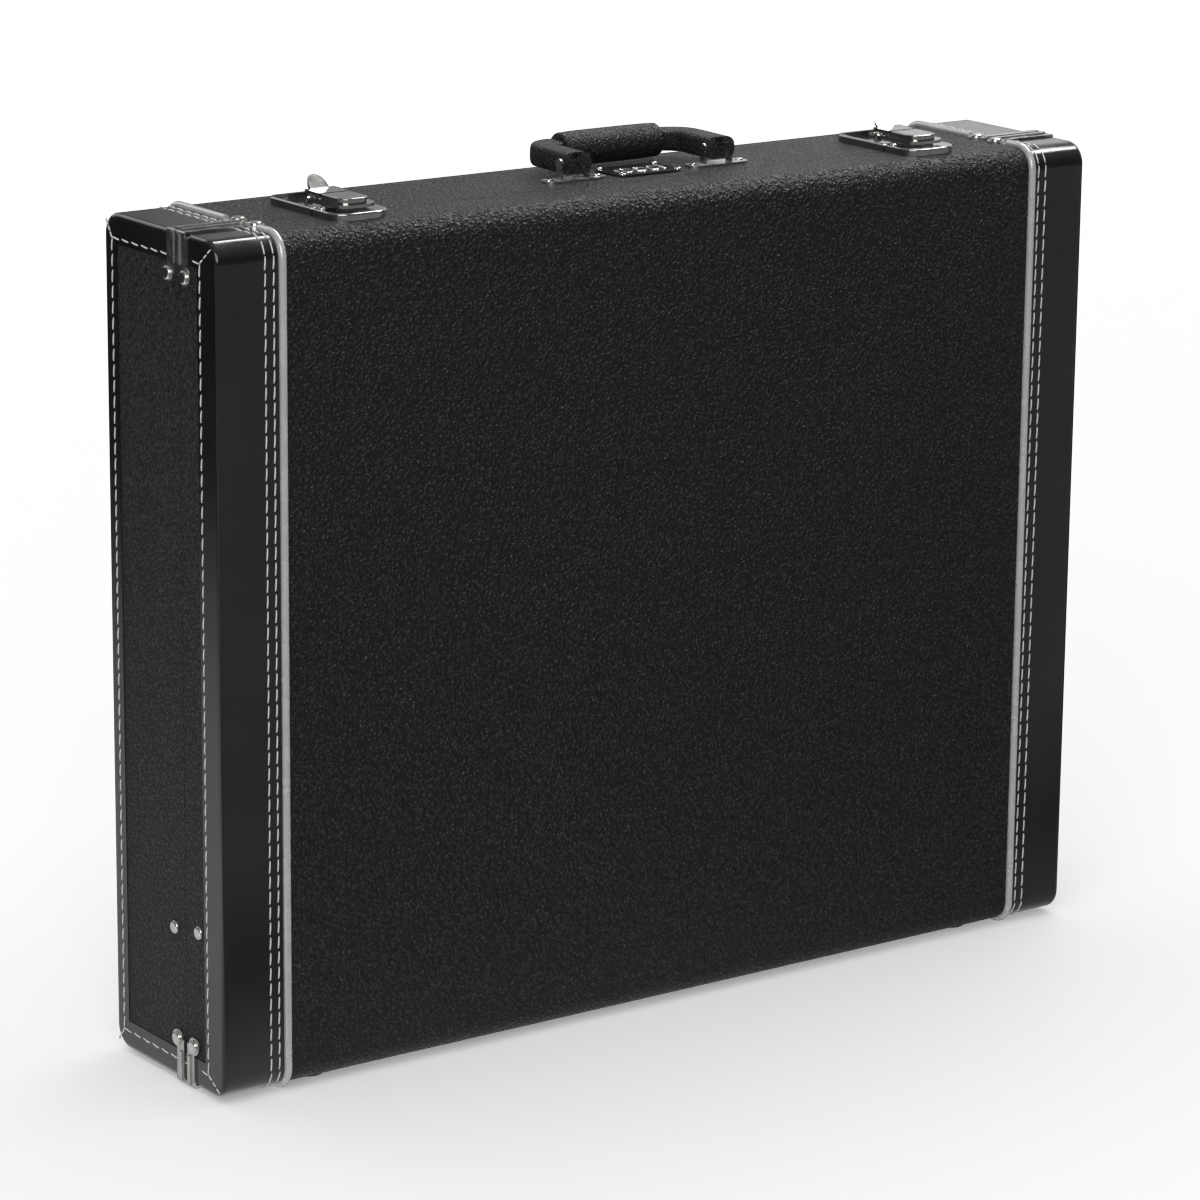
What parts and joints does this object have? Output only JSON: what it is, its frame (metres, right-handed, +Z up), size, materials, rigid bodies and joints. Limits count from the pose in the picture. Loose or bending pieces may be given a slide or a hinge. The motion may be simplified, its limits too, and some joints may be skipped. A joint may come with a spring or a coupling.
{
  "type": "pedalboard case",
  "caption": "Hard pedalboard case in black pebbled covering with light piping and white stitching: hinged lid, draw latches, folding handle, carpeted board inside.",
  "frame": {"origin": "centre of the whole object's box, on the floor plane, with the case standing on its hinge side", "axes": "X along the case's width, +Y from the lid to the back of the base, +Z up towards the handle"},
  "size_m": [0.6258, 0.1312, 0.5175],
  "materials": {
    "tolex": "pebbled, satin",
    "leatherette": "smooth, glossy",
    "piping": "glossy silver-white",
    "plywood": "bare birch",
    "valance": "satin",
    "plush": "short plush pile",
    "carpet": "loop pile",
    "foam": "quilted padding cloth",
    "rubber": "matte",
    "nylon": "matte",
    "handle_leather": "grained",
    "grip_leather": "pebbled",
    "badge": "black enamel, bright rim",
    "webbing": "woven",
    "steel": "zinc plated",
    "nickel": "bright nickel"
  },
  "bodies": {
    "base": {"badge": "badge", "base_band_left": "leatherette", "base_band_right": "leatherette", "base_corner_brackets": "nickel", "base_dome_rivets": "nickel", "base_end_boards": "plywood", "base_end_inlays": "tolex", "base_glides": "nylon", "base_lining": "plush", "base_piping": "piping", "base_screws": "steel", "base_small_rivets": "nickel", "base_tolex": "tolex", "base_valance": "valance", "base_wrap": "plywood", "board_carpet": "carpet", "board_rails": "plywood", "handle_bars": "steel", "handle_mount_left": "nickel", "handle_mount_right": "nickel", "hinge_left_base_leaf": "nickel", "hinge_pins": "steel", "hinge_right_base_leaf": "nickel", "latch_plate_left": "nickel", "latch_plate_right": "nickel", "lever_pins": "steel", "pedal_board": "plywood", "rubber_feet": "rubber", "stay_strap_left": "webbing", "stay_strap_right": "webbing"},
    "lid": {"hinge_left_lid_leaf": "nickel", "hinge_right_lid_leaf": "nickel", "latch_catch_left": "nickel", "latch_catch_right": "nickel", "lid_band_left": "leatherette", "lid_band_right": "leatherette", "lid_corner_brackets": "nickel", "lid_dome_rivets": "nickel", "lid_end_boards": "plywood", "lid_end_inlays": "tolex", "lid_foam": "foam", "lid_glides": "nylon", "lid_lining": "plush", "lid_piping": "piping", "lid_screws": "steel", "lid_small_rivets": "nickel", "lid_tolex": "tolex", "lid_wrap": "plywood"},
    "lever_left": {"hasp_pin_left": "steel", "latch_lever_left": "nickel"},
    "lever_right": {"hasp_pin_right": "steel", "latch_lever_right": "nickel"},
    "hasp_left": {"latch_hasp_left": "nickel"},
    "hasp_right": {"latch_hasp_right": "nickel"},
    "handle": {"handle_arm_left": "handle_leather", "handle_arm_right": "handle_leather", "handle_core": "steel", "handle_grip": "grip_leather"}
  },
  "joints": [
    {"name": "lid_hinge", "type": "hinge", "parent": "base", "child": "lid", "pos_m": [0, -0.0222, 0.003], "axis": [1, 0, 0], "range_deg": [0, 100]},
    {"name": "latch_lever_left", "type": "hinge", "parent": "base", "child": "lever_left", "pos_m": [-0.204, -0.0134, 0.502], "axis": [1, 0, 0], "range_deg": [0, 100]},
    {"name": "hasp_left", "type": "hinge", "parent": "lever_left", "child": "hasp_left", "pos_m": [-0.204, -0.0074, 0.502], "axis": [1, 0, 0], "range_deg": [-100, 0]},
    {"name": "latch_lever_right", "type": "hinge", "parent": "base", "child": "lever_right", "pos_m": [0.204, -0.0134, 0.502], "axis": [1, 0, 0], "range_deg": [0, 100]},
    {"name": "hasp_right", "type": "hinge", "parent": "lever_right", "child": "hasp_right", "pos_m": [0.204, -0.0074, 0.502], "axis": [1, 0, 0], "range_deg": [-100, 0]},
    {"name": "handle_pivot", "type": "hinge", "parent": "base", "child": "handle", "pos_m": [0.02, -0.0039, 0.5065], "axis": [1, 0, 0], "range_deg": [0, 165]}
  ],
  "couplings": [
    {"joint": "hasp_left", "follows": "latch_lever_left", "ratio": -1},
    {"joint": "hasp_right", "follows": "latch_lever_right", "ratio": -1}
  ]
}
